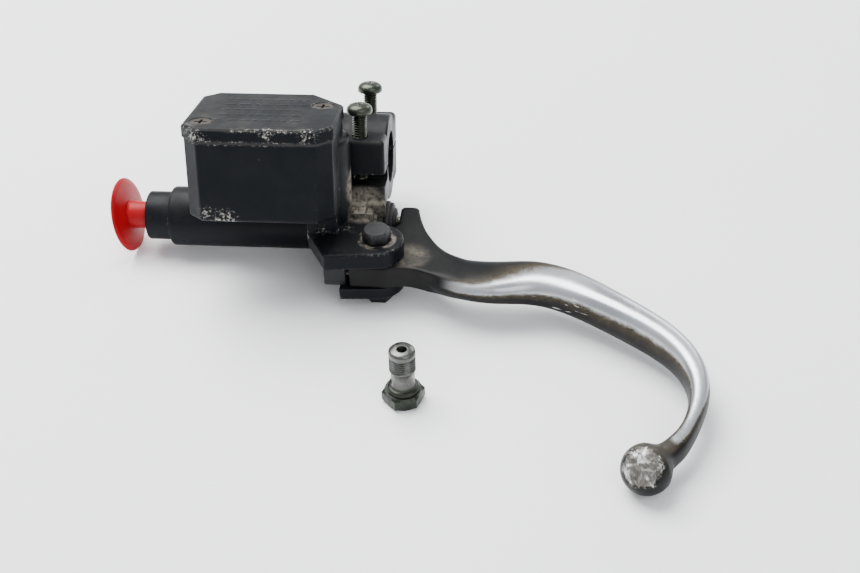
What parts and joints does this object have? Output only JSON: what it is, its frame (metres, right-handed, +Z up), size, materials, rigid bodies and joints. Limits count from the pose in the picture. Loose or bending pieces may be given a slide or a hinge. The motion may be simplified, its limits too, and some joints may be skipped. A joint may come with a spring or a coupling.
{
  "type": "brake master cylinder",
  "caption": "Motorcycle front brake master cylinder with square fluid reservoir, handlebar clamp and a forward-bent brake lever.",
  "frame": {"origin": "on the handlebar axis, halfway along the clamp", "axes": "+X along the handlebar and the cylinder bore, towards the lever; +Y towards the rider's side, where the bar lies behind the lever; +Z up from the surface the part lies on, parallel to the lever pivot"},
  "size_m": [0.2387, 0.1912, 0.0771],
  "materials": {
    "casting": "satin black paint over cast aluminium, dusty and chipped at its edges",
    "lid": "satin black paint, dusty, with chips along the rim",
    "lid_screw": "dull, brown with rust",
    "rubber": "matt black rubber",
    "dark_plastic": "matt black moulded plastic",
    "clear_plastic": "clear, slightly yellowed lens",
    "steel": "bright steel",
    "passivated_steel": "olive green passivated zinc, worn",
    "lever_metal": "dark anodised at the root, polished bare along the blade",
    "black_steel": "blackened steel, dusty",
    "bronze": "sintered bronze",
    "piston_alloy": "dark grey anodised aluminium",
    "red_plastic": "glossy red, slightly translucent",
    "brass": "tinned brass",
    "banjo_steel": "zinc plate worn to bare steel on the thread"
  },
  "bodies": {
    "casting": {"master_cylinder_body": "casting", "reservoir_lid": "lid", "lid_screws": "lid_screw", "diaphragm": "rubber", "diaphragm_plate": "dark_plastic", "port_baffle": "steel", "sight_glass": "clear_plastic", "sight_ring": "dark_plastic", "clamp_screws": "passivated_steel", "pivot_bolt": "black_steel", "pivot_nut": "black_steel", "piston_washer": "steel", "circlip": "black_steel", "return_spring": "steel", "dust_boot": "rubber", "switch_case": "dark_plastic", "switch_terminals": "brass", "switch_screw": "passivated_steel"},
    "clamp_cap": {"clamp_cap": "casting"},
    "lever": {"brake_lever": "lever_metal", "pivot_bush": "bronze"},
    "piston": {"piston": "piston_alloy", "primary_cup": "rubber", "secondary_cup": "rubber", "spring_seat": "steel"},
    "switch_plunger": {"switch_plunger": "black_steel"},
    "transit_plug": {"transit_plug": "red_plastic"},
    "banjo_bolt": {"banjo_bolt": "banjo_steel"}
  },
  "joints": [
    {"name": "lever_pivot", "type": "hinge", "parent": "casting", "child": "lever", "pos_m": [0.0098, -0.052, -0.018], "axis": [0, 0, 1], "range_deg": [0, 14], "stiffness_Nm_per_rad": 0.6, "springref_deg": -17.19},
    {"name": "piston_stroke", "type": "slide", "parent": "casting", "child": "piston", "axis": [-1, 0, 0], "range_m": [0, 0.0081], "deforming": ["return_spring", "dust_boot"]},
    {"name": "switch_travel", "type": "slide", "parent": "casting", "child": "switch_plunger", "axis": [1, 0, 0], "range_m": [0, 0.00105]},
    {"name": "cap_lift", "type": "slide", "parent": "casting", "child": "clamp_cap", "axis": [0, 0.2164, 0.9763], "range_m": [0, 0.007]},
    {"name": "plug_pull", "type": "slide", "parent": "casting", "child": "transit_plug", "axis": [-1, 0, 0], "range_m": [0, 0.02]},
    {"name": "banjo_lift", "type": "slide", "parent": "casting", "child": "banjo_bolt", "axis": [0, 0, 1], "range_m": [0, 0.03]}
  ],
  "couplings": [
    {"joint": "piston_stroke", "follows": "lever_pivot", "m_per_rad": 0.0328},
    {"joint": "switch_travel", "follows": "lever_pivot", "m_per_rad": 0.004}
  ]
}
